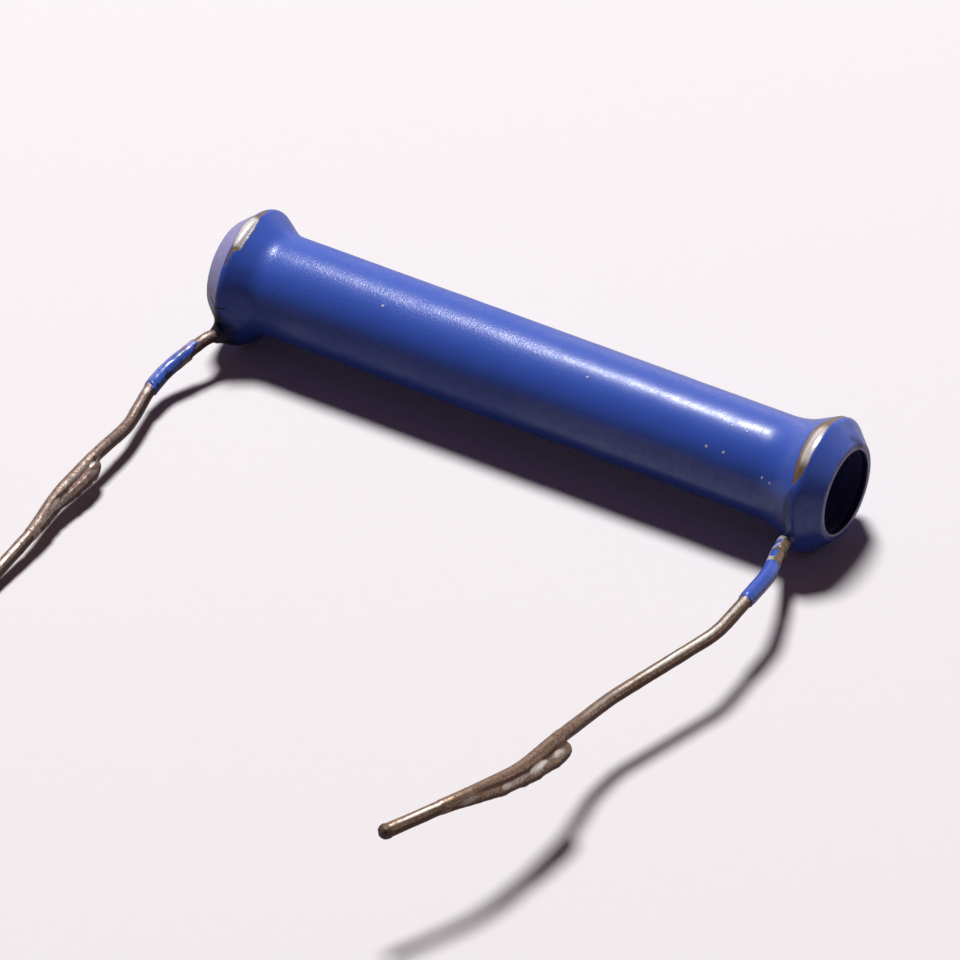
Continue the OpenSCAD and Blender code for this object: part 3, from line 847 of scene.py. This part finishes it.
# ---------------------------------------------------------------- solder
def drop_shell(wire, path, lumps, bright, columns=44):
    """Solder that runs beside a wire and wets it. path holds stations of (s,
    distance beside the wire, radius), and the highlight ovals are painted highlights, given as on the wires."""
    cols = list(zip(*path))
    s = np.arange(path[0][0] - 0.25, path[-1][0] + 0.2, 0.035)
    mid, side, near = wire.at(s)
    off, rad = (np.interp(s, cols[0], cols[k]) for k in (1, 2))
    head, reach = path[0][0], path[0][2]
    rad = rad * np.sqrt(np.clip(1 - np.clip((head + reach - s) / reach, 0, 1) ** 2, 0.0, 1))
    skin = WIRE_R + 0.012 - 0.05 * smooth(0.25, 0, s - s[0]) - 0.05 * smooth(0.25, 0, s[-1] - s)
    drop = mid + side * off[:, None]
    rad = np.where(s < head, -0.2, rad)
    start = mid + side * (off * 0.35)[:, None]
    phi = np.linspace(0, 2 * math.pi, columns, endpoint=False)
    c, n = np.cos(phi)[None, :, None], np.sin(phi)[None, :, None]
    ray = near[:, None] * c + side[:, None] * n
    d = np.full((len(s), columns), 1.4)
    for _ in range(40):
        p = start[:, None] + ray * d[..., None]
        a = np.linalg.norm(p - mid[:, None], axis=2) - skin[:, None]
        b = np.linalg.norm(p - drop[:, None], axis=2) - rad[:, None]
        d = d - 0.8 * smooth_min(a, b, 0.10)
    p = start[:, None] + ray * d[..., None]
    beyond = smooth(-0.02, 0.1, a)
    rough = lumps * noise3(p, 1.7, 3.0) + 0.5 * lumps * noise3(p, 4.1, 8.0) + 0.25 * lumps * noise3(p, 9.0)
    d = d + beyond * rough
    p = start[:, None] + ray * d[..., None]
    v = np.einsum("ijk,ik->ij", p - mid[:, None], side)
    front = np.einsum("ijk,ik->ij", p - mid[:, None], near) > -0.15
    mark = np.zeros(d.shape)
    for s0, v0, long, wide, level in bright:
        mark = np.maximum(mark, level * spot(s[:, None], v, s0, v0, long, wide) * front)
    # Painted shade along the drop's far edge and in the groove between drop and wire
    brink = (off + rad)[:, None]
    groove = spot(0, v, 0, np.clip(brink - 0.46, 0.05, 0.3), 1, 0.09)
    burnt = np.maximum(smooth(brink - 0.17, brink - 0.05, v) * (brink > WIRE_R),
                       0.9 * groove * smooth(0.02, 0.3, brink - WIRE_R))
    return shell(p, {"bright": mark, "burnt": burnt * (1 - mark)}, close_rows=False)


RIGHT_DROP = [(19.05, 0.44, 0.26), (19.5, 0.50, 0.29), (20.2, 0.54, 0.29), (21.2, 0.46, 0.27), (22.2, 0.36, 0.25),
              (23.3, 0.32, 0.25), (24.2, 0.24, 0.23), (25.1, 0.12, 0.22), (25.9, 0.04, 0.2)]
LEFT_DROP = [(11.0, 0.22, 0.24), (11.6, 0.36, 0.31), (12.4, 0.36, 0.30), (13.2, 0.34, 0.29),
             (13.8, 0.28, 0.27), (14.6, 0.16, 0.22), (15.5, 0.08, 0.24), (16.1, 0.02, 0.2)]
# Painted highlights on the solder drops: (s, across, length, width, level)
RIGHT_DROP_HIGHLIGHTS = [(20.0, 0.44, 0.45, 0.16, 0.68), (21.2, 0.34, 0.6, 0.16, 0.9), (22.4, 0.32, 0.9, 0.14, 0.55),
                     (23.0, 0.31, 0.3, 0.13, 0.7), (24.8, 0.2, 0.5, 0.12, 0.58), (26.3, -0.15, 0.6, 0.12, 0.6)]
LEFT_DROP_HIGHLIGHTS = [(11.5, 0.17, 0.22, 0.1, 0.75), (12.6, 0.0, 1.2, 0.08, 0.6), (14.3, 0.12, 0.5, 0.09, 0.6)]
solid("right_lead_drop", [drop_shell(right_wire, RIGHT_DROP, 0.03, RIGHT_DROP_HIGHLIGHTS)],
      solder_mat, "right_lead_solder")
solid("left_lead_drop", [drop_shell(left_wire, LEFT_DROP, 0.06, LEFT_DROP_HIGHLIGHTS)],
      lumpy_mat, "left_lead_solder")


TIP_REACH = 0.316  # keeps the lump inside the CAD bead


def tip_shell(centre, axis, columns=40, rows=28):
    """The burnt lump on the right lead's tip."""
    u = unit(np.array(axis, float))
    a = unit(np.cross(u, (0, 0, 1.0)))
    b = np.cross(u, a)
    lat = np.linspace(0.06, math.pi - 0.06, rows)[:, None]
    phi = np.linspace(0, 2 * math.pi, columns, endpoint=False)[None]
    ring = np.cos(phi)[..., None] * a + np.sin(phi)[..., None] * b
    ray = np.cos(lat)[..., None] * u + np.sin(lat)[..., None] * ring
    boxy = (np.abs(ray @ u) ** 3 + np.abs(ray @ a) ** 3 + np.abs(ray @ b) ** 3) ** (-1 / 3)
    r = WIRE_R * boxy ** 0.7 * (1 + 0.10 * noise3(ray, 1.9, 4.0) + 0.06 * noise3(ray, 5.0, 2.0))
    skin = centre + ray * np.minimum(r, TIP_REACH)[..., None]
    return shell(skin, {"bright": 0 * r, "burnt": 0 * r}, close_rows=False)


solid("right_tip_lump", [tip_shell(right_wire.pts[-1], right_wire.t[-1])],
      burnt_mat, "right_tip_solder")

# ---------------------------------------------------------------- CAD nodes
finish = {
    "ceramic_tube": ceramic_mat, "inner_electrode": bore_mat, "outer_electrode": silver_mat,
    "left_solder_joint": solder_mat, "right_solder_joint": solder_mat,
}
for name, material in finish.items():
    slots = nodes[name].material_slots
    if not slots:
        nodes[name].data.materials.append(material)
    for slot in nodes[name].material_slots:
        slot.material = material

# ---------------------------------------------------------------- stage
FLOOR_SIDE = 1.6  # m
FLOOR_GAP = 0.000005  # m, keeps the paper just clear of the crests
floor_mesh = bpy.data.meshes.new("paper_floor")
half, level = FLOOR_SIDE / 2, -CREST_R * MM - FLOOR_GAP
corners = [(x * half, y * half, level) for x, y in ((-1, -1), (1, -1), (1, 1), (-1, 1))]
floor_mesh.from_pydata(corners, [], [(0, 1, 2, 3)])
floor = bpy.data.objects.new("paper_floor", floor_mesh)
floor_mesh.materials.append(floor_material())
bpy.context.scene.collection.objects.link(floor)
